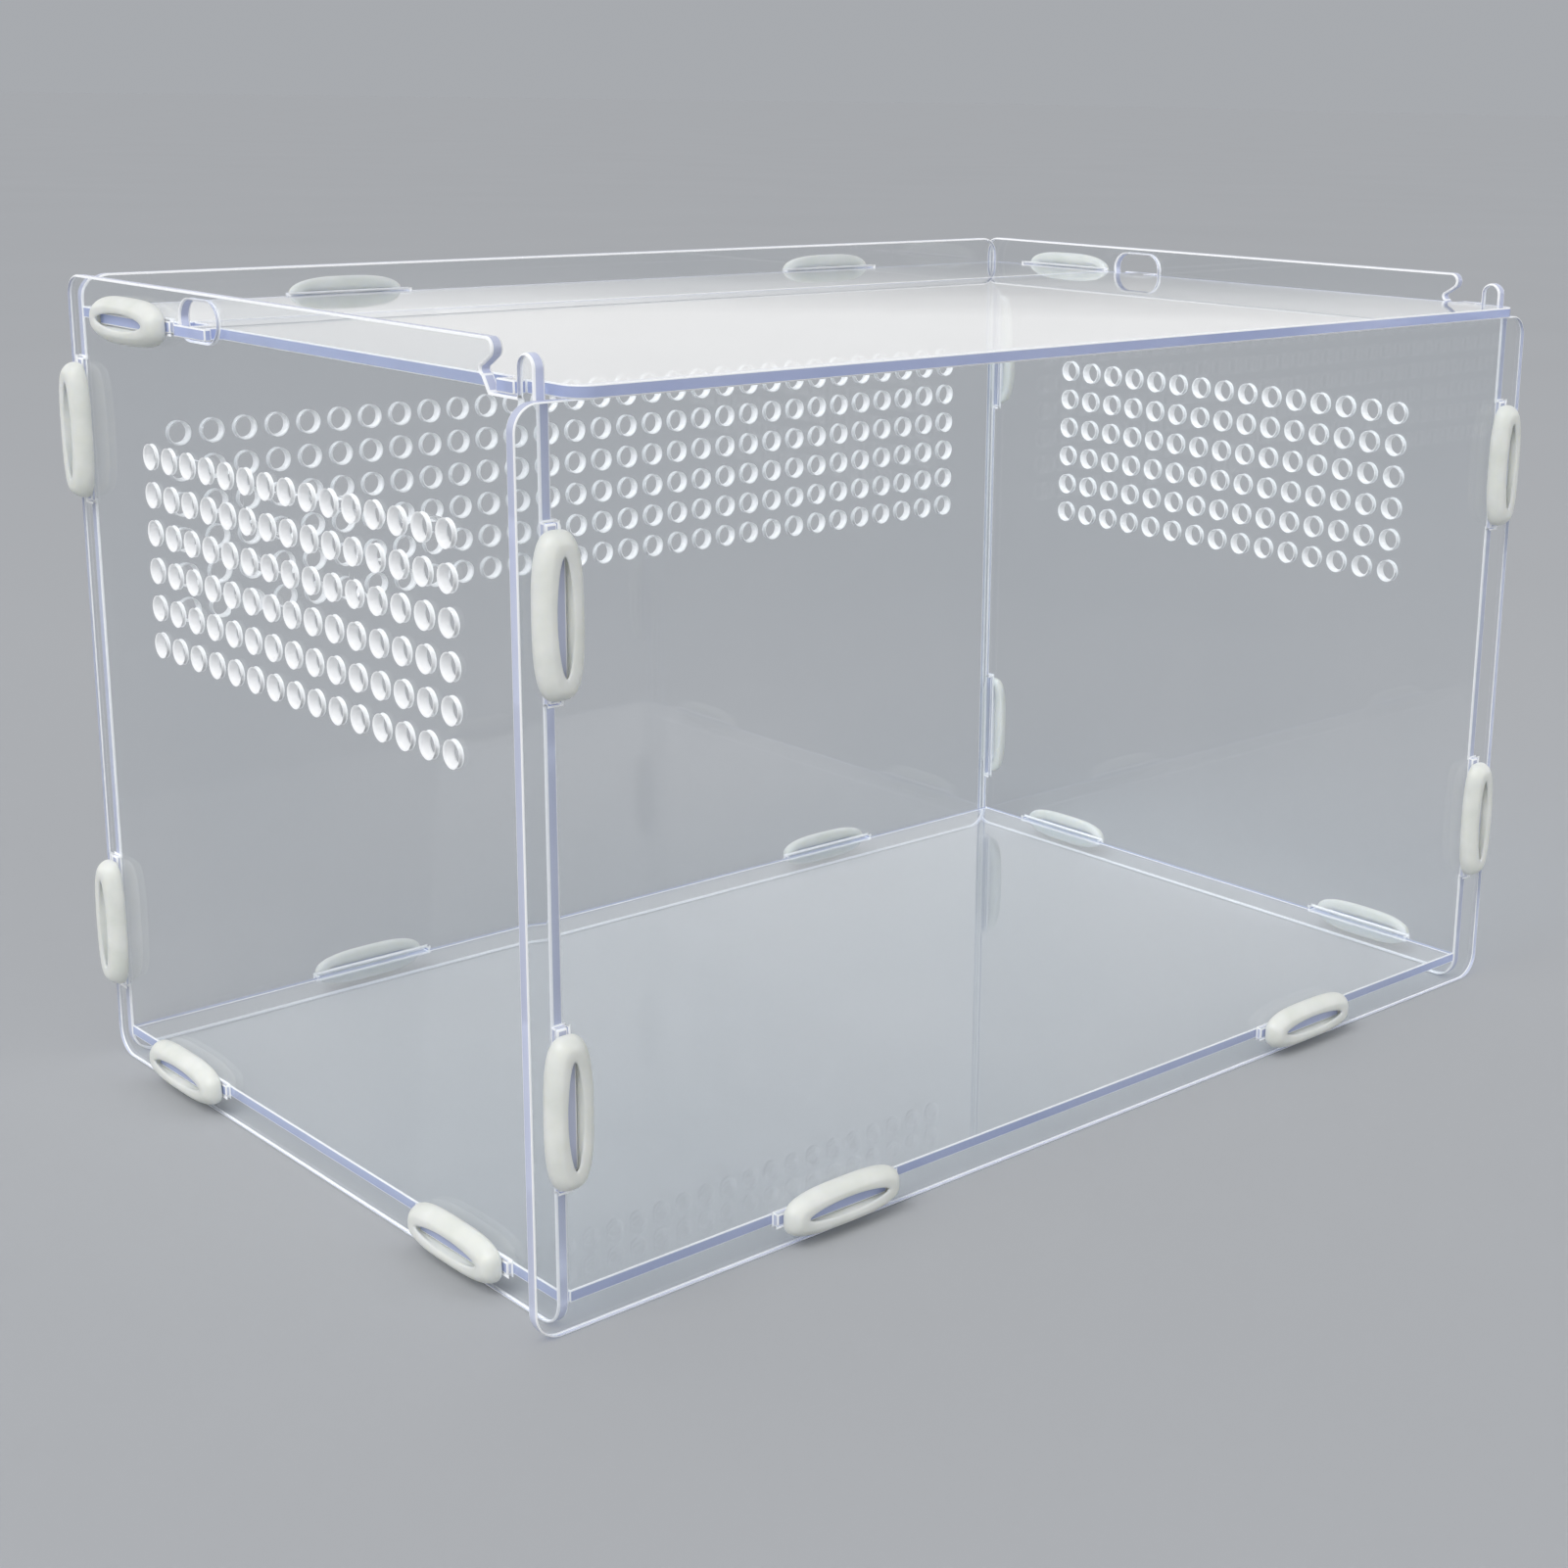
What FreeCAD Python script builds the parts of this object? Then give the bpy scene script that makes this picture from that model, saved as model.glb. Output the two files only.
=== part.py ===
import FreeCAD, Part
import math
import os
from collections import namedtuple

# A knock-down terrarium of clear sheet, in millimetres. The origin is on the ground under the
# middle of the box, +X runs along the front to the right, -Y is the front and +Z is up.

# Sheet and box
sheet = 2.5
inside_length = 283.0
inside_depth = 176.0
wall_height = 184.0
front_overhang = 6.0
rear_overhang = 3.0
floor_clear = 5.25
lid_drop = 6.8
foot_round = 6.0
top_round = 5.0

# Clearances
seat_gap = 0.1
slot_gap = 0.15
ring_fit = 0.1
lid_gap = 0.3
lid_side_gap = 1.5
lid_rear_gap = 0.8

# Tabs, and where they stand on their walls
tab_length = 32.0
tongue_length = 22.5
tongue_reach = 2.4
front_tab_low = 45.0
front_tab_drop = 46.5
rear_tab_low = 33.8
rear_tab_drop = 34.2
long_tab_inset = 65.5
floor_side_inset = 32.0
strip_tab_inset = 18.0

# Rubber rings
ring_band = 3.9
ring_height = 4.0
ring_bulge = 0.6
ring_round = 1.5
ring_point = 1.2
round_share = 0.45

# Vent holes
vent_diameter = 4.8
vent_pitch = 8.3
vent_drop = 36.7
vent_rows = 6
side_vent_margin = 28.0
back_vent_margin = 20.0

# Rear strip and lid
strip_depth = 45.0
lid_lip = 4.0
lid_front_round = 4.5
lid_rear_round = 1.0

# Hinge: an ear with a neck in an oval hole and a head outside it
hole_setback = 10.5
hole_length = 15.6
hole_height = 8.2
hole_under = 0.6
neck_length = 6.2
neck_shift = 1.25
head_length = 13.5
head_width = 1.6
head_gap = 0.4

# Lid catch: a front ear between a nub and a hook nose
nub_width = 5.3
nub_drop = 1.8
ear_length = 5.6
ear_clear = 0.7
nose_clear = 0.9
nose_round = 2.0
nose_end_angle = 225.0
undercut_depth = 3.9
undercut_round = 0.7
undercut_rise = 1.0
nose_foot = 1.2

V = FreeCAD.Vector
ALONG_X = V(1, 0, 0)
ALONG_Y = V(0, 1, 0)
ALONG_Z = V(0, 0, 1)

# Faces and levels that follow from the sizes above
side_in = inside_length / 2
side_out = side_in + sheet
front_in = -inside_depth / 2
front_out = front_in - sheet
back_in = inside_depth / 2
back_out = back_in + sheet
front_end = side_out + front_overhang
side_front = front_in + seat_gap
side_rear = back_out + rear_overhang
lid_top = wall_height - lid_drop
lid_under = lid_top - sheet
pocket_floor = lid_under - lid_gap
floor_middle = floor_clear + sheet / 2
strip_middle = lid_under + sheet / 2
strip_front = back_in - strip_depth
hole_middle = strip_front - hole_setback
nub_rear = side_front + nub_width
ear_front = nub_rear + ear_clear
ear_rear = ear_front + ear_length
nose_tip = ear_rear + nose_clear

Tab = namedtuple("Tab", "ring panel wall centre out along")


def list_tabs():
    """Every tab: its ring, its panel, the wall it goes through, and its middle on the wall's outer face."""
    tabs = []
    for side, sign in (("left", -1), ("right", 1)):
        wall = side + "_panel"
        out = ALONG_X * sign
        for level, z in (("lower", front_tab_low), ("upper", wall_height - front_tab_drop)):
            centre = V(sign * (side_in + sheet / 2), front_out, z)
            tabs.append(Tab(f"ring_front_{side}_{level}", wall, "front_panel", centre, -ALONG_Y, ALONG_Z))
        for level, z in (("lower", rear_tab_low), ("upper", wall_height - rear_tab_drop)):
            centre = V(sign * side_out, back_in + sheet / 2, z)
            tabs.append(Tab(f"ring_rear_{side}_{level}", "back_panel", wall, centre, out, ALONG_Z))
        for place, y in (("front", front_in + floor_side_inset), ("rear", back_in - floor_side_inset)):
            centre = V(sign * side_out, y, floor_middle)
            tabs.append(Tab(f"ring_floor_{side}_{place}", "floor_panel", wall, centre, out, ALONG_Y))
        centre = V(sign * side_out, strip_front + strip_tab_inset, strip_middle)
        tabs.append(Tab(f"ring_strip_{side}", "rear_strip", wall, centre, out, ALONG_Y))
        x = sign * (side_in - long_tab_inset)
        for face, out, y in (("front", -ALONG_Y, front_out), ("back", ALONG_Y, back_out)):
            ring_name = f"ring_floor_{face}_{side}"
            centre = V(x, y, floor_middle)
            tabs.append(Tab(ring_name, "floor_panel", face + "_panel", centre, out, ALONG_X))
        centre = V(x, back_out, strip_middle)
        tabs.append(Tab(f"ring_strip_back_{side}", "rear_strip", "back_panel", centre, ALONG_Y, ALONG_X))
    return tabs


def box(corner, opposite):
    """Block between two opposite corners, given in any order."""
    low = V(min(corner.x, opposite.x), min(corner.y, opposite.y), min(corner.z, opposite.z))
    high = V(max(corner.x, opposite.x), max(corner.y, opposite.y), max(corner.z, opposite.z))
    size = high - low
    return Part.makeBox(size.x, size.y, size.z, low)


def tab_block(tab, length, thickness, start, end):
    """Block on a tab's middle line, from start to end measured outwards from the wall's outer face."""
    reach = tab.along * (length / 2) + tab.out.cross(tab.along) * (thickness / 2)
    return box(tab.centre + tab.out * start - reach, tab.centre + tab.out * end + reach)


def tab_solids(tab):
    """The tab's root, flush with the wall it fills, and the narrower tongue that takes the ring."""
    root = tab_block(tab, tab_length, sheet, -sheet - seat_gap, 0)
    tongue = tab_block(tab, tongue_length, sheet, 0, tongue_reach)
    return [root, tongue]


def slot_solid(tab):
    """The slot that a tab passes through, cut clear of both faces of the wall."""
    return tab_block(tab, tab_length + 2 * slot_gap, sheet + 2 * slot_gap, -2 * sheet, sheet)


def jointed(name, plate, tabs):
    """A plate with its own tabs added and the slots for its neighbours' tabs cut out."""
    own = [solid for tab in tabs if tab.panel == name for solid in tab_solids(tab)]
    slots = [slot_solid(tab) for tab in tabs if tab.wall == name]
    if own:
        plate = plate.fuse(own).removeSplitter()
    if slots:
        plate = plate.cut(slots)
    return plate


class Outline:
    """A closed line of straight runs and arcs, drawn in a plane spanned by u and v from an origin."""

    def __init__(self, plane, start):
        self.origin, self.u, self.v = plane
        self.start = self.here = start
        self.edges = []

    def place(self, point):
        return self.origin + self.u * point[0] + self.v * point[1]

    def line(self, end):
        self.edges.append(Part.LineSegment(self.place(self.here), self.place(end)).toShape())
        self.here = end

    def arc(self, centre, radius, start_angle, end_angle):
        def on(angle):
            turn = math.radians(angle)
            return (centre[0] + radius * math.cos(turn), centre[1] + radius * math.sin(turn))
        via = on((start_angle + end_angle) / 2)
        end = on(end_angle)
        self.edges.append(Part.Arc(self.place(self.here), self.place(via), self.place(end)).toShape())
        self.here = end

    def close(self):
        self.line(self.start)
        return Part.Wire(self.edges)


def rounded_rectangle(plane, low, high, low_round, high_round):
    """Rectangle from corner low to corner high, with its two low and two high corners rounded."""
    (u0, v0), (u1, v1) = low, high
    line = Outline(plane, (u0, v0 + low_round))
    line.arc((u0 + low_round, v0 + low_round), low_round, 180, 270)
    line.line((u1 - low_round, v0))
    line.arc((u1 - low_round, v0 + low_round), low_round, 270, 360)
    line.line((u1, v1 - high_round))
    line.arc((u1 - high_round, v1 - high_round), high_round, 0, 90)
    line.line((u0 + high_round, v1))
    line.arc((u0 + high_round, v1 - high_round), high_round, 90, 180)
    return line.close()


def oval(plane, centre, length, height):
    """Hole with straight long sides and half round ends."""
    radius = height / 2
    half = length / 2 - radius
    line = Outline(plane, (centre[0] + half, centre[1] - radius))
    line.arc((centre[0] + half, centre[1]), radius, -90, 90)
    line.line((centre[0] - half, centre[1] + radius))
    line.arc((centre[0] - half, centre[1]), radius, 90, 270)
    return line.close()


def vent_field(plane, room, margin):
    """Rows of vent holes under the wall's top, as many across as the room between two margins takes."""
    origin, u, v = plane
    columns = int((room - 2 * margin) / vent_pitch) + 1
    holes = []
    for row in range(vent_rows):
        for column in range(columns):
            across = (column - (columns - 1) / 2) * vent_pitch
            centre = origin + u * across + v * (wall_height - vent_drop - row * vent_pitch)
            circle = Part.makeCircle(vent_diameter / 2, centre, u.cross(v))
            holes.append(Part.Wire([circle]))
    return holes


def cut_sheet(outline, holes, direction):
    """One sheet thickness of an outline with its holes."""
    face = Part.makeFace([outline] + holes, "Part::FaceMakerBullseye")
    return face.extrude(direction * sheet)


def front_panel(tabs):
    plane = (V(0, front_out, 0), ALONG_X, ALONG_Z)
    outline = rounded_rectangle(plane, (-front_end, 0), (front_end, pocket_floor), foot_round, top_round)
    return jointed("front_panel", cut_sheet(outline, [], ALONG_Y), tabs)


def back_panel(tabs):
    plane = (V(0, back_in, 0), ALONG_X, ALONG_Z)
    end = side_in - seat_gap
    outline = rounded_rectangle(plane, (-end, 0), (end, wall_height), foot_round, top_round)
    vents = vent_field(plane, inside_length, back_vent_margin)
    return jointed("back_panel", cut_sheet(outline, vents, ALONG_Y), tabs)


def side_outline(plane):
    """Side panel: rounded foot and rear top corners, hook nose, lid pocket and nub."""
    nub_radius = nub_width / 2
    nub_middle = side_front + nub_radius
    nub_shoulder = wall_height - nub_drop - nub_radius
    nose_level = wall_height - nose_round
    undercut_level = lid_top + undercut_rise
    undercut_middle = nose_tip + undercut_depth - undercut_round
    line = Outline(plane, (side_front, foot_round))
    line.arc((side_front + foot_round, foot_round), foot_round, 180, 270)
    line.line((side_rear - foot_round, 0))
    line.arc((side_rear - foot_round, foot_round), foot_round, 270, 360)
    line.line((side_rear, wall_height - top_round))
    line.arc((side_rear - top_round, wall_height - top_round), top_round, 0, 90)
    line.line((nose_tip + nose_round, wall_height))
    line.arc((nose_tip + nose_round, nose_level), nose_round, 90, nose_end_angle)
    line.line((undercut_middle, undercut_level + undercut_round))
    line.arc((undercut_middle, undercut_level), undercut_round, 90, -90)
    line.line((nose_tip + nose_foot, pocket_floor))
    line.line((nub_rear, pocket_floor))
    line.line((nub_rear, nub_shoulder))
    line.arc((nub_middle, nub_shoulder), nub_radius, 0, 180)
    return line.close()


def side_panel(side, sign, tabs):
    inner_face = side_in if sign > 0 else -side_out
    plane = (V(inner_face, 0, 0), ALONG_Y, ALONG_Z)
    hole = oval(plane, (hole_middle, lid_under - hole_under + hole_height / 2), hole_length, hole_height)
    holes = vent_field(plane, inside_depth, side_vent_margin) + [hole]
    return jointed(side + "_panel", cut_sheet(side_outline(plane), holes, ALONG_X), tabs)


def floor_panel(tabs):
    end = side_in - seat_gap
    low = V(-end, front_in + seat_gap, floor_clear)
    high = V(end, back_in - seat_gap, floor_clear + sheet)
    return jointed("floor_panel", box(low, high), tabs)


def rear_strip(tabs):
    end = side_in - seat_gap
    low = V(-end, strip_front, lid_under)
    high = V(end, back_in - seat_gap, lid_top)
    return jointed("rear_strip", box(low, high), tabs)


def lid_ears(sign, end):
    """The catch ear, and the hinge ear with its neck and head, on one end of the lid."""
    neck_rear = hole_middle - neck_shift + neck_length / 2
    neck_front = neck_rear - neck_length
    head_in = side_out + head_gap
    head_half = head_length / 2
    catch = box(V(sign * end, ear_front, lid_under), V(sign * side_out, ear_rear, lid_top))
    neck = box(V(sign * end, neck_front, lid_under), V(sign * head_in, neck_rear, lid_top))
    head = box(V(sign * head_in, hole_middle - head_half, lid_under),
               V(sign * (head_in + head_width), hole_middle + head_half, lid_top))
    return [catch, neck, head]


def lid():
    plane = (V(0, 0, lid_under), ALONG_X, ALONG_Y)
    end = side_in - lid_side_gap
    low = (-end, front_out - lid_lip)
    high = (end, strip_front - lid_rear_gap)
    plate = cut_sheet(rounded_rectangle(plane, low, high, lid_front_round, lid_rear_round), [], ALONG_Z)
    return plate.fuse(lid_ears(-1, end) + lid_ears(1, end)).removeSplitter()


def ring_outline(plane, half_length, half_width):
    """Long ring with round ends and gently bulging sides, all arcs tangent."""
    end_radius = half_width - ring_bulge
    end_middle = half_length - end_radius
    side_radius = (end_middle ** 2 + half_width ** 2 - end_radius ** 2) / (2 * ring_bulge)
    side_middle = side_radius - half_width
    turn = math.atan2(side_middle, end_middle)
    tilt = math.degrees(turn)
    line = Outline(plane, (end_middle + end_radius * math.cos(turn), -end_radius * math.sin(turn)))
    line.arc((end_middle, 0), end_radius, -tilt, tilt)
    line.arc((0, -side_middle), side_radius, tilt, 180 - tilt)
    line.arc((-end_middle, 0), end_radius, 180 - tilt, 180 + tilt)
    line.arc((0, side_middle), side_radius, 180 + tilt, 360 - tilt)
    return Part.Wire(line.edges)


def ring(tab):
    """Rubber ring round a tongue, lying on the wall's outer face, with a slit pointed at both ends."""
    plane = (V(0, 0, 0), ALONG_X, ALONG_Y)
    slit_length = tongue_length / 2 + ring_fit
    slit_width = sheet / 2 + ring_fit
    outline = ring_outline(plane, slit_length + ring_band, slit_width + ring_band)
    body = Part.Face(outline).extrude(ALONG_Z * ring_height)
    rims = [edge for edge in body.Edges if edge.BoundBox.ZLength < ring_fit]
    body = body.makeFillet(min(ring_round, round_share * ring_height), rims)
    slit = Outline(plane, (-slit_length, -slit_width))
    slit.line((slit_length, -slit_width))
    slit.line((slit_length + ring_point, 0))
    slit.line((slit_length, slit_width))
    slit.line((-slit_length, slit_width))
    slit.line((-slit_length - ring_point, 0))
    body = body.cut(Part.Face(slit.close()).extrude(ALONG_Z * ring_height))
    turn = FreeCAD.Rotation(tab.along, tab.out.cross(tab.along), tab.out, "XYZ")
    body.Placement = FreeCAD.Placement(tab.centre + tab.out * ring_fit, turn)
    return body


tabs = list_tabs()
pieces = {
    "front_panel": front_panel(tabs),
    "back_panel": back_panel(tabs),
    "left_panel": side_panel("left", -1, tabs),
    "right_panel": side_panel("right", 1, tabs),
    "floor_panel": floor_panel(tabs),
    "rear_strip": rear_strip(tabs),
    "lid": lid(),
}
for tab in tabs:
    pieces[tab.ring] = ring(tab)

os.makedirs("parts", exist_ok=True)
for name, shape in pieces.items():
    shape.exportStep(f"parts/{name}.step")
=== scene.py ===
import math

import bmesh
import bpy
import numpy as np
from mathutils import Matrix, Vector


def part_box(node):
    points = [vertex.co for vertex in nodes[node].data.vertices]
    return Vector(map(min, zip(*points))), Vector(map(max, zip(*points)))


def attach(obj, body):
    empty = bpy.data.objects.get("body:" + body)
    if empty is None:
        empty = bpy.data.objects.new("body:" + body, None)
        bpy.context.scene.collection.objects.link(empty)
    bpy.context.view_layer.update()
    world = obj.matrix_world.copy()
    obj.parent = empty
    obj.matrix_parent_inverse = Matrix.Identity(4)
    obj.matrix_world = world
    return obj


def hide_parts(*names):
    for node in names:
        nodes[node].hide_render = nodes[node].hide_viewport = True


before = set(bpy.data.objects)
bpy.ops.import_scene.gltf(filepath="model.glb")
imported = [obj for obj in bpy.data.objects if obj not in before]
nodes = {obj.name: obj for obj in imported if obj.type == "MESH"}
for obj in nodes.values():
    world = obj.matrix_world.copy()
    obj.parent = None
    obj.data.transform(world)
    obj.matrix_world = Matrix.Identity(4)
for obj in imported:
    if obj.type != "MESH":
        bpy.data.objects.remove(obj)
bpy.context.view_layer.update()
MM = 0.001

# Camera fitted to the photograph: metres, radians, image pixels for focal length and centre
image_size = 1601
camera_place = Vector((-0.3772, -0.4318, 0.2266))
camera_yaw = 0.7549
camera_pitch = 0.2540
camera_roll = 0.0169
camera_focal = 2471.7
camera_centre = (936.2, 732.3)
camera_near = 0.01
sensor_width = 36.0

# Sheets of the box, with the axis that each is thin along
sheet_axis = {
    "front_panel": 1,
    "back_panel": 1,
    "left_panel": 0,
    "right_panel": 0,
    "floor_panel": 2,
    "rear_strip": 2,
    "lid": 2,
}

# Parts of a sheet: least cosine of its faces, largest vent, distance of corners that are one
face_cosine = 0.8
vent_reach = 6 * MM
weld_step = 0.002 * MM

# Material slots of a sheet
clear_slot, edge_slot, vent_slot, arris_slot = range(4)

# Broken corners of a sheet, wider where it has vents; angles in degrees
arris_width = 0.3 * MM
vented_arris_width = 0.45 * MM
arris_segments = 2
arris_angle = 40.0
flat_angle = 0.5
area_weight = 100

# Acrylic: pairs of tints, and the colour of the lamps' light behind it
acrylic_ior = 1.49
clear_tints = ((0.955, 0.968, 0.978, 1), (0.982, 0.988, 0.994, 1))
clear_light = (0.95, 0.965, 0.975, 1)
upright_tints = ((0.60, 0.64, 0.84, 1), (0.70, 0.74, 0.89, 1))
# Edges of sheets that lie flat: a darker, bluer copy of the lavender, which is painted shade
level_shaded_tints = ((0.44, 0.51, 0.78, 1), (0.54, 0.60, 0.84, 1))
edge_tints_with_level_shade = (upright_tints, upright_tints, level_shaded_tints)
edge_light = (0.75, 0.79, 0.9, 1)
edge_transmission = 0.2
streak_stretch = 0.06
frost_and_highlight_tints = ((0.95, 0.96, 0.97, 1), (0.98, 0.985, 0.99, 1))
frost_light = (0.86, 0.88, 0.9, 1)
vent_glow = 1.5 * MM
# The white broken corners are frost at the vents' rims and a painted highlight along the sheets'
# other corners
arris_transmission = 0.08

# Milky rubber
rubber_ior = 1.41
rubber_tints = ((0.78, 0.80, 0.75, 1), (0.87, 0.88, 0.84, 1))
rubber_glow = 2.0 * MM
rubber_glow_colour = (1.0, 0.95, 0.8)
rubber_glow_weight = 0.6
rubber_transmission = 0.12

# Ring outlines: half length and half width of the bore and of the slit between the lips
ring_segments = 72
outer_power = 3.0
bore_half = (11.6 * MM, 1.5 * MM)
bore_power = 10.0
lens_half = (10.6 * MM, 1.75 * MM)
lens_power = 1.7
crease_inset = 1.9 * MM

# Ring section, each step with its share of the ring's height
bore_levels = (0.0, 0.62)
# Share of the way from the bore to the lips' slit
throat_steps = ((0.5, 0.74), (1.0, 0.9))
# Share of the way from the lips' slit to the crease
crown_steps = ((0.1, 0.97), (0.3, 1.0), (0.8, 1.0), (1.0, 0.965))
# Inset from the outline
side_steps = ((1.0 * MM, 0.8), (0.3 * MM, 0.56), (0.0, 0.3), (0.08 * MM, 0.12), (0.45 * MM, 0.0))

# Unevenness of a ring, from sine waves round it
ring_wobble = 0.07 * MM
ring_seed = 700
wave_count = 4
lowest_wave = 2

# Studio floor and sky; the sky's places are sines of the angle above the horizon
floor_size = 60.0
floor_drop = 0.2 * MM
floor_colour = (0.42, 0.43, 0.445)
floor_lift = 1.02
floor_roughness = 0.9
horizon_colour = (0.39, 0.405, 0.428, 1)
sky_white = (1.0, 1.0, 1.0, 1)
sky_stops = (
    (0.0, horizon_colour),
    (0.068, horizon_colour),
    (0.09, sky_white),
    (0.2, sky_white),
    (0.45, (0.70, 0.71, 0.73, 1)),
    (1.0, (0.38, 0.39, 0.41, 1)),
)

# Lamps: the sun's angles in degrees, and each softbox's place, size and energy
sun_spread = 38.0
sun_tilt = 38.0
sun_turn = -70.0
sun_strength = 1.3
softbox_aim = Vector((0, 0, 0.1))
softboxes = {
    "softbox_left": (Vector((-1.3, -0.3, 1.0)), (0.9, 1.2), 3.0),
    "softbox_right": (Vector((1.1, -1.2, 0.9)), (0.7, 1.2), 2.0),
}


def new_object(name, data):
    """New object in the scene."""
    made = bpy.data.objects.new(name, data)
    bpy.context.scene.collection.objects.link(made)
    return made


def material(name):
    """New node material; returns it with its node tree and its Principled shader."""
    made = bpy.data.materials.new(name)
    made.use_nodes = True
    tree = made.node_tree
    return made, tree, tree.nodes["Principled BSDF"]


def set_inputs(node, **values):
    """Sets a node's inputs by name, with spaces written as underscores."""
    for key, value in values.items():
        node.inputs[key.replace("_", " ")].default_value = value


def add(tree, kind, **values):
    """Adds a node and sets its inputs."""
    node = tree.nodes.new(kind)
    set_inputs(node, **values)
    return node


def noise(tree, scale, detail=3.0, rough=0.5, stretch=(1, 1, 1)):
    """Noise in the part's own frame, stretched along the axes; returns its height output."""
    place = tree.nodes.new("ShaderNodeTexCoord")
    turn = add(tree, "ShaderNodeMapping", Scale=stretch)
    tree.links.new(place.outputs["Object"], turn.inputs["Vector"])
    made = add(tree, "ShaderNodeTexNoise", Scale=scale, Detail=detail, Roughness=rough)
    tree.links.new(turn.outputs["Vector"], made.inputs["Vector"])
    return made.outputs["Fac"]


def ramp(tree, source, stops):
    """Colour ramp over a height; stops are (place, colour)."""
    node = tree.nodes.new("ShaderNodeValToRGB")
    bar = node.color_ramp
    bar.elements[0].position, bar.elements[0].color = stops[0]
    bar.elements[1].position, bar.elements[1].color = stops[-1]
    for place, colour in stops[1:-1]:
        bar.elements.new(place).color = colour
    tree.links.new(source, node.inputs["Fac"])
    return node.outputs["Color"]


def tint(tree, shader, source, colours, start=0.3, end=0.7):
    """Base colour that runs from one colour to the other with a height."""
    colour = ramp(tree, source, ((start, colours[0]), (end, colours[1])))
    tree.links.new(colour, shader.inputs["Base Color"])


def gloss(tree, shader, source, low, high, start=0.3, end=0.7):
    """Roughness that runs from low to high with a height."""
    node = add(tree, "ShaderNodeMapRange", From_Min=start, From_Max=end, To_Min=low, To_Max=high)
    tree.links.new(source, node.inputs["Value"])
    tree.links.new(node.outputs["Result"], shader.inputs["Roughness"])


def bump(tree, shader, source, depth, strength):
    """Bump from a height, with the depth in metres."""
    node = add(tree, "ShaderNodeBump", Strength=strength, Distance=depth)
    tree.links.new(source, node.inputs["Height"])
    tree.links.new(node.outputs["Normal"], shader.inputs["Normal"])


def lets_light_through(tree, shader, colour):
    """Lamps shine through the surface, tinted, instead of being stopped by it."""
    path = tree.nodes.new("ShaderNodeLightPath")
    clear = add(tree, "ShaderNodeBsdfTransparent", Color=colour)
    mix = tree.nodes.new("ShaderNodeMixShader")
    tree.links.new(path.outputs["Is Shadow Ray"], mix.inputs[0])
    tree.links.new(shader.outputs[0], mix.inputs[1])
    tree.links.new(clear.outputs[0], mix.inputs[2])
    tree.links.new(mix.outputs[0], tree.nodes["Material Output"].inputs["Surface"])


def clear_material():
    """Clear acrylic face: faint tint, handling smears in the gloss, slow waves of the sheet."""
    made, tree, shader = material("acrylic_clear")
    tint(tree, shader, noise(tree, scale=9.0), clear_tints, start=0.35, end=0.65)
    smear = noise(tree, scale=55.0, detail=6.0, rough=0.65, stretch=(1, 1, 0.35))
    gloss(tree, shader, smear, low=0.0, high=0.035, start=0.45, end=0.8)
    bump(tree, shader, noise(tree, scale=22.0, detail=1.0), depth=0.02 * MM, strength=0.35)
    set_inputs(shader, Transmission_Weight=1.0, IOR=acrylic_ior)
    lets_light_through(tree, shader, clear_light)
    return made


def edge_material(axis):
    """Laser-cut edge of a sheet that is thin along the axis.

    It is smooth and lavender, with faint streaks across the edge; where the sheet lies flat it is
    painted darker and bluer, as painted shade.
    """
    made, tree, shader = material("acrylic_cut_edge_" + "xyz"[axis])
    along = [1.0, 1.0, 1.0]
    along[axis] = streak_stretch
    streak = noise(tree, scale=1100.0, detail=1.0, stretch=along)
    # Sheets that lie flat get the darker, bluer edge tints: painted shade
    tint(tree, shader, noise(tree, scale=26.0, detail=2.0), edge_tints_with_level_shade[axis])
    gloss(tree, shader, streak, low=0.2, high=0.26)
    bump(tree, shader, streak, depth=0.0015 * MM, strength=0.15)
    set_inputs(shader, Transmission_Weight=edge_transmission, IOR=acrylic_ior)
    lets_light_through(tree, shader, edge_light)
    return made


def frost_and_highlight_material(name, transmission, glow):
    """Acrylic whitened by the cut, as on a vent's wall and at a vent's rim, and the white of the
    other broken corners, which is a painted highlight.

    glow is how far light spreads inside it, or 0 for none.
    """
    made, tree, shader = material(name)
    grain = noise(tree, scale=2600.0, detail=2.0)
    tint(tree, shader, grain, frost_and_highlight_tints)
    gloss(tree, shader, grain, low=0.5, high=0.7)
    bump(tree, shader, grain, depth=0.01 * MM, strength=0.4)
    set_inputs(
        shader,
        Subsurface_Weight=1.0 if glow else 0.0,
        Subsurface_Radius=(1.0, 1.0, 1.0),
        Subsurface_Scale=glow,
        Transmission_Weight=transmission,
        IOR=acrylic_ior,
    )
    lets_light_through(tree, shader, frost_light)
    return made


def rubber_material():
    """Milky silicone rubber, warm and faintly green, with a satin skin."""
    made, tree, shader = material("ring_milky_rubber")
    tint(tree, shader, noise(tree, scale=160.0, detail=4.0), rubber_tints)
    skin = noise(tree, scale=1400.0, detail=3.0, rough=0.6)
    gloss(tree, shader, skin, low=0.28, high=0.42)
    bump(tree, shader, skin, depth=0.008 * MM, strength=0.5)
    set_inputs(
        shader,
        Subsurface_Weight=rubber_glow_weight,
        Subsurface_Radius=rubber_glow_colour,
        Subsurface_Scale=rubber_glow,
        Transmission_Weight=rubber_transmission,
        IOR=rubber_ior,
    )
    return made


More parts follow.
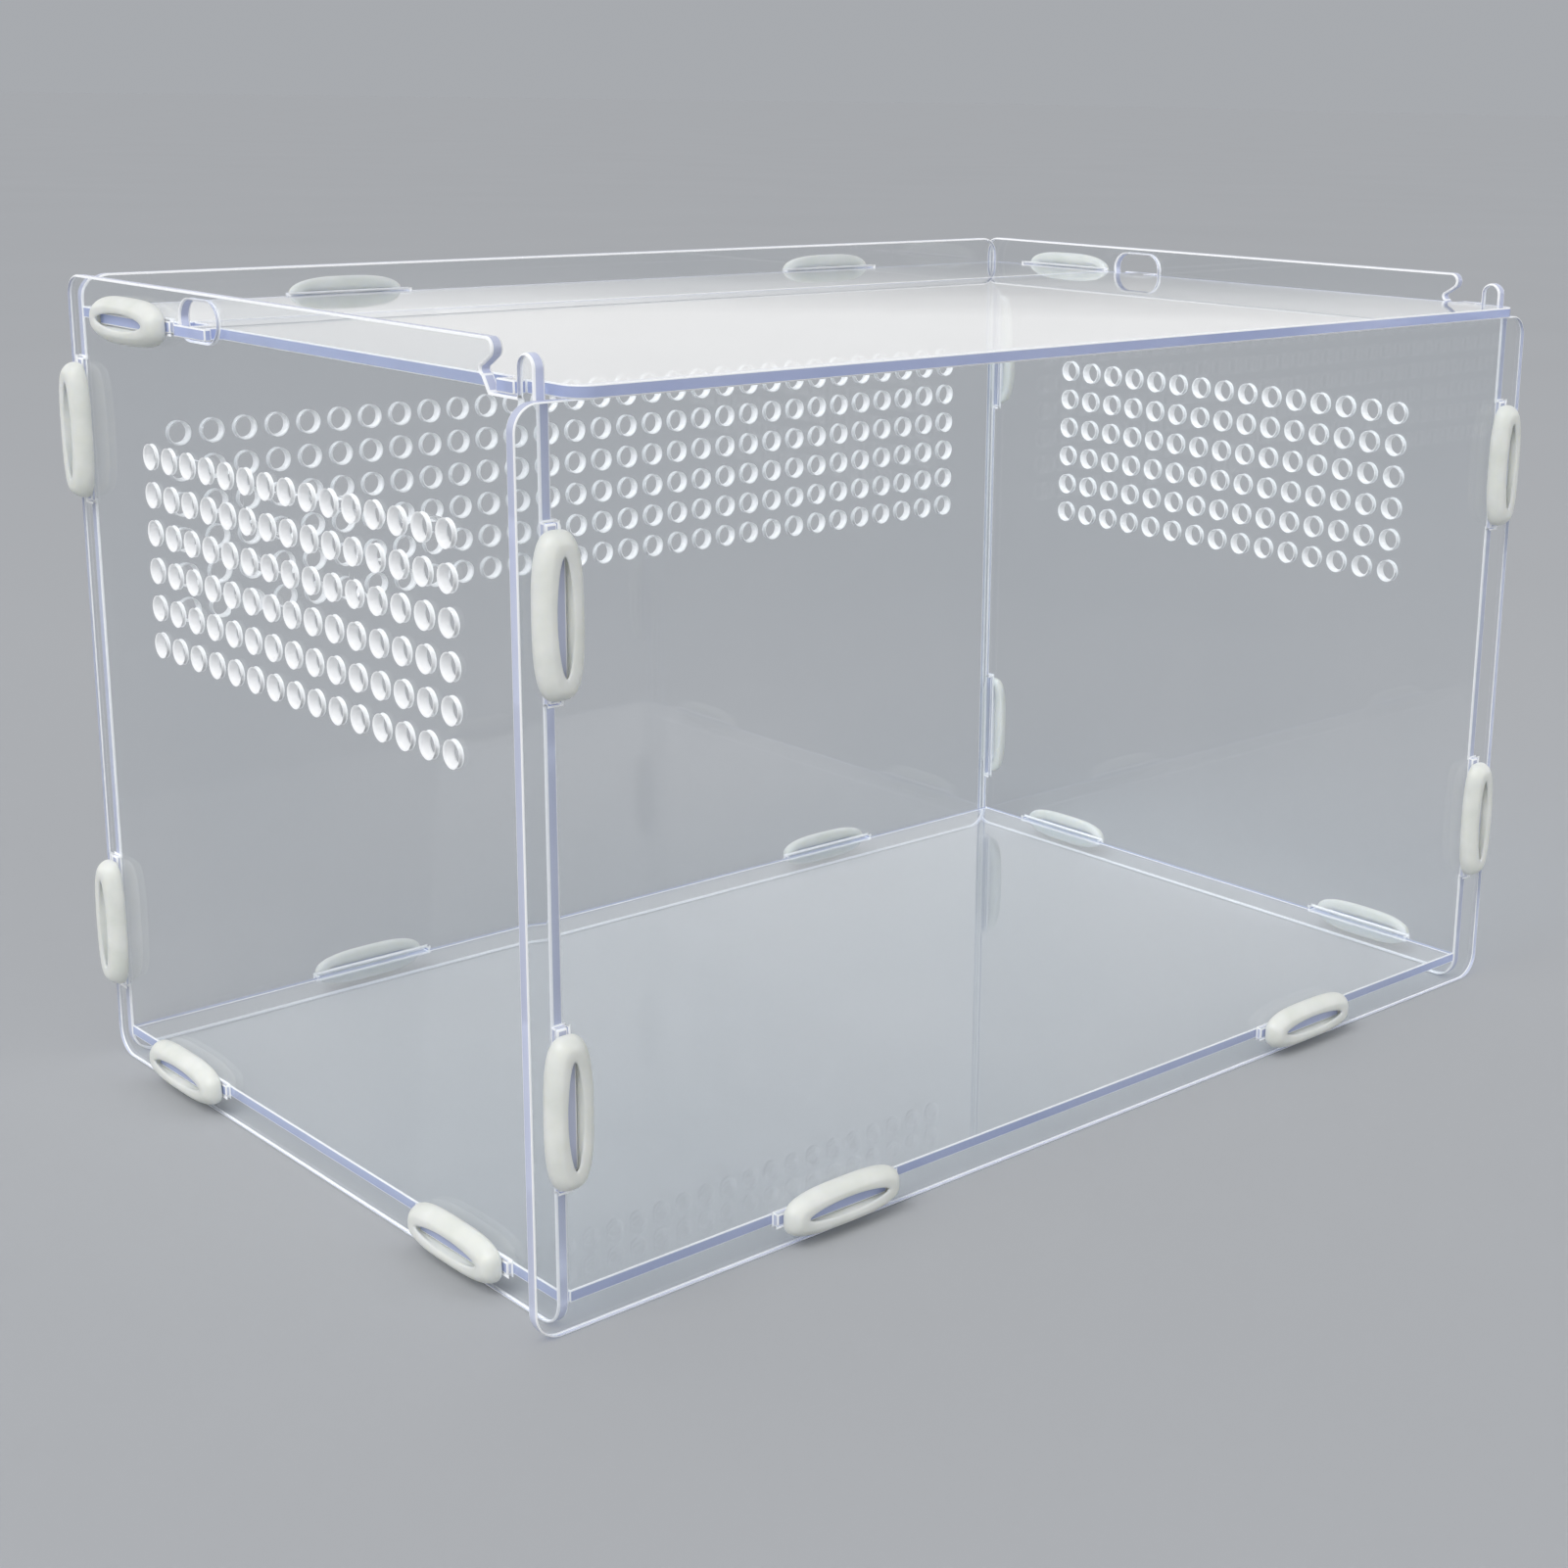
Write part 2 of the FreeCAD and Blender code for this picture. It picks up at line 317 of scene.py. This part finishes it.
def wall_groups(mesh, corners, walls):
    """Groups a sheet's wall polygons that share corners; each group is a hole or the outline."""
    keys = np.round(corners / weld_step).astype(np.int64)
    _, joined = np.unique(keys, axis=0, return_inverse=True)
    joined = joined.ravel()
    leader = np.arange(joined.max() + 1)

    def find(item):
        while leader[item] != item:
            leader[item] = leader[leader[item]]
            item = leader[item]
        return item

    for wall in walls:
        first, *rest = [find(joined[v]) for v in mesh.polygons[wall].vertices]
        for other in rest:
            leader[find(other)] = find(first)
    groups = {}
    for wall in walls:
        groups.setdefault(find(joined[mesh.polygons[wall].vertices[0]]), []).append(wall)
    return groups.values()


def polygon_slots(mesh, axis):
    """Material slot of each polygon of a sheet: clear face, cut edge or vent wall."""
    corners = np.zeros(len(mesh.vertices) * 3)
    mesh.vertices.foreach_get("co", corners)
    corners = corners.reshape(-1, 3)
    walls = [p.index for p in mesh.polygons if abs(p.normal[axis]) < face_cosine]
    slots = np.full(len(mesh.polygons), clear_slot, np.int32)
    slots[walls] = edge_slot
    for group in wall_groups(mesh, corners, walls):
        used = sorted({v for wall in group for v in mesh.polygons[wall].vertices})
        size = corners[used].max(0) - corners[used].min(0)
        if size.max() < vent_reach:
            slots[group] = vent_slot
    return slots


def break_corners(sheet, width):
    """Modifiers that join a sheet's triangles into flat polygons and bevel its corners."""
    weld = sheet.modifiers.new("weld", "WELD")
    weld.merge_threshold = weld_step
    plane = sheet.modifiers.new("plane", "DECIMATE")
    plane.decimate_type = "DISSOLVE"
    plane.angle_limit = math.radians(flat_angle)
    plane.delimit = {"MATERIAL"}
    bevel = sheet.modifiers.new("arris", "BEVEL")
    bevel.width = width
    bevel.segments = arris_segments
    bevel.limit_method = "ANGLE"
    bevel.angle_limit = math.radians(arris_angle)
    bevel.use_clamp_overlap = False
    # Sliding loops would turn over triangles of the vented faces
    bevel.loop_slide = False
    # The broken corners get the white material: frost at the vents' rims, painted highlight along
    # the outer corners
    bevel.material = arris_slot
    normal = sheet.modifiers.new("normal", "WEIGHTED_NORMAL")
    normal.weight = area_weight
    normal.keep_sharp = False


def dress_sheet(name, axis, materials):
    """Gives a sheet's faces, cut edges, vent walls and broken corners their own materials."""
    sheet = nodes[name]
    mesh = sheet.data
    mesh.materials.clear()
    for made in materials:
        mesh.materials.append(made)
    slots = polygon_slots(mesh, axis)
    mesh.polygons.foreach_set("material_index", slots)
    mesh.update()
    break_corners(sheet, vented_arris_width if vent_slot in slots else arris_width)


def loop_points(half_length, half_width, power):
    """Points of a long rounded loop; a power under 2 gives pointed ends, above 2 blunt ones."""
    points = []
    for step in range(ring_segments):
        turn = math.tau * (step + 0.5) / ring_segments
        c, s = math.cos(turn), math.sin(turn)
        points.append((
            math.copysign(abs(c) ** (2 / power), c) * half_length,
            math.copysign(abs(s) ** (2 / power), s) * half_width,
        ))
    return np.array(points)


def ring_loops(half_length, half_width):
    """Loops round a ring, from the bore's foot over the crown to the outer foot.

    Each comes with its share of the height, and whether it is in the bore, which keeps its width.
    """
    def inset(step):
        return loop_points(half_length - step, half_width - step, outer_power)

    bore = loop_points(*bore_half, bore_power)
    lens = loop_points(*lens_half, lens_power)
    crease = inset(crease_inset)
    loops = [(bore, level, True) for level in bore_levels]
    loops += [(bore * (1 - k) + lens * k, level, False) for k, level in throat_steps]
    loops += [(lens * (1 - k) + crease * k, level, False) for k, level in crown_steps]
    loops += [(inset(step), level, False) for step, level in side_steps]
    return loops


def ring_waves(number):
    """Unevenness at each step round a ring, from -1 to 1."""
    random = np.random.default_rng(ring_seed + number)
    phase = random.uniform(0, math.tau, wave_count)
    turns = [math.tau * step / ring_segments for step in range(ring_segments)]
    return [
        sum(math.sin((k + lowest_wave) * turn + phase[k]) for k in range(wave_count)) / wave_count
        for turn in turns
    ]


def ring_mesh(name, number):
    """Mesh of a soft ring in its CAD ring's box: round section, lips over the tongue's corners."""
    low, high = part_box(name)
    size = high - low
    thin = min(range(3), key=lambda k: size[k])
    long = max(range(3), key=lambda k: size[k])
    wide = 3 - thin - long
    middle = (low + high) / 2
    out = 1 if middle[thin] > 0 else -1
    foot = low[thin] if out > 0 else high[thin]
    half_length, half_width, height = size[long] / 2, size[wide] / 2, size[thin]

    waves = ring_waves(number)
    bm = bmesh.new()
    rows = []
    for points, level, in_bore in ring_loops(half_length, half_width):
        row = []
        for (along, across), wave in zip(points, waves):
            shrink = ring_wobble * (1 + wave) if level > 0 else 0.0
            place = Vector((0, 0, 0))
            place[long] = middle[long] + along * (1 - shrink / half_length)
            place[wide] = middle[wide] + across * (1 if in_bore else 1 - shrink / half_width)
            place[thin] = foot + out * level * height
            row.append(bm.verts.new(place))
        rows.append(row)
    for a, b in zip(rows, rows[1:] + rows[:1]):
        for step in range(ring_segments):
            nxt = (step + 1) % ring_segments
            bm.faces.new((a[step], a[nxt], b[nxt], b[step]))
    bmesh.ops.recalc_face_normals(bm, faces=bm.faces)
    mesh = bpy.data.meshes.new("soft_" + name)
    bm.to_mesh(mesh)
    bm.free()
    mesh.polygons.foreach_set("use_smooth", [True] * len(mesh.polygons))
    return mesh


def ring_piece(name, number, made):
    """Soft ring that stands for a CAD ring."""
    mesh = ring_mesh(name, number)
    mesh.materials.append(made)
    piece = new_object("soft_" + name, mesh)
    smooth = piece.modifiers.new("smooth", "SUBSURF")
    smooth.levels = smooth.render_levels = 1
    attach(piece, "box")
    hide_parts(name)


def studio_floor():
    """Wide pale floor, just under the part."""
    made, tree, shader = material("studio_floor")
    lifted = tuple(c * floor_lift for c in floor_colour)
    tint(tree, shader, noise(tree, scale=3.0), (floor_colour + (1,), lifted + (1,)))
    set_inputs(shader, Roughness=floor_roughness, Specular_IOR_Level=0.0)
    bpy.ops.mesh.primitive_plane_add(size=floor_size, location=(0, 0, -floor_drop))
    floor = bpy.context.object
    floor.name = "studio_floor"
    floor.data.materials.append(made)


def studio_sky():
    """Soft sky, brightest a little above the horizon."""
    world = bpy.data.worlds.new("studio_world")
    world.use_nodes = True
    bpy.context.scene.world = world
    tree = world.node_tree
    place = tree.nodes.new("ShaderNodeTexCoord")
    split = tree.nodes.new("ShaderNodeSeparateXYZ")
    tree.links.new(place.outputs["Generated"], split.inputs[0])
    background = tree.nodes["Background"]
    tree.links.new(ramp(tree, split.outputs["Z"], sky_stops), background.inputs["Color"])
    set_inputs(background, Strength=1.0)


def studio_lamps():
    """A wide soft sun and two softboxes."""
    sun = bpy.data.lights.new("soft_sun", "SUN")
    sun.energy = sun_strength
    sun.angle = math.radians(sun_spread)
    lamp = new_object("soft_sun", sun)
    lamp.rotation_euler = (math.radians(sun_tilt), 0, math.radians(sun_turn))

    for name, (place, size, energy) in softboxes.items():
        light = bpy.data.lights.new(name, "AREA")
        light.shape = "RECTANGLE"
        light.size, light.size_y = size
        light.energy = energy
        lamp = new_object(name, light)
        lamp.location = place
        lamp.rotation_euler = (softbox_aim - place).to_track_quat("-Z", "Y").to_euler()


def studio_camera():
    """Camera at the photograph's angle."""
    c, s = math.cos(camera_pitch), math.sin(camera_pitch)
    ahead = Vector((math.sin(camera_yaw) * c, math.cos(camera_yaw) * c, -s))
    side = ahead.cross(Vector((0, 0, 1))).normalized()
    up = side.cross(ahead)
    right = side * math.cos(camera_roll) + up * math.sin(camera_roll)
    top = up * math.cos(camera_roll) - side * math.sin(camera_roll)
    lens = bpy.data.cameras.new("camera")
    lens.sensor_width = sensor_width
    lens.lens = camera_focal / image_size * sensor_width
    lens.shift_x = (image_size / 2 - camera_centre[0]) / image_size
    lens.shift_y = (camera_centre[1] - image_size / 2) / image_size
    lens.clip_start = camera_near
    camera = new_object("camera", lens)
    turn = Matrix((right, top, -ahead)).transposed().to_4x4()
    camera.matrix_world = Matrix.Translation(camera_place) @ turn
    bpy.context.scene.camera = camera


clear, rubber = clear_material(), rubber_material()
vent = frost_and_highlight_material("acrylic_vent_wall", transmission=0.0, glow=vent_glow)
# White broken corners: frost at the vents' rims, painted highlight along the sheets' other corners
arris = frost_and_highlight_material("acrylic_arris_frost_and_highlight", transmission=arris_transmission, glow=0.0)
edges = [edge_material(axis) for axis in range(3)]
for name, axis in sheet_axis.items():
    dress_sheet(name, axis, (clear, edges[axis], vent, arris))
for number, name in enumerate(sorted(n for n in nodes if n.startswith("ring_"))):
    ring_piece(name, number, rubber)
studio_floor()
studio_sky()
studio_lamps()
studio_camera()
bpy.context.scene.view_settings.view_transform = "Standard"
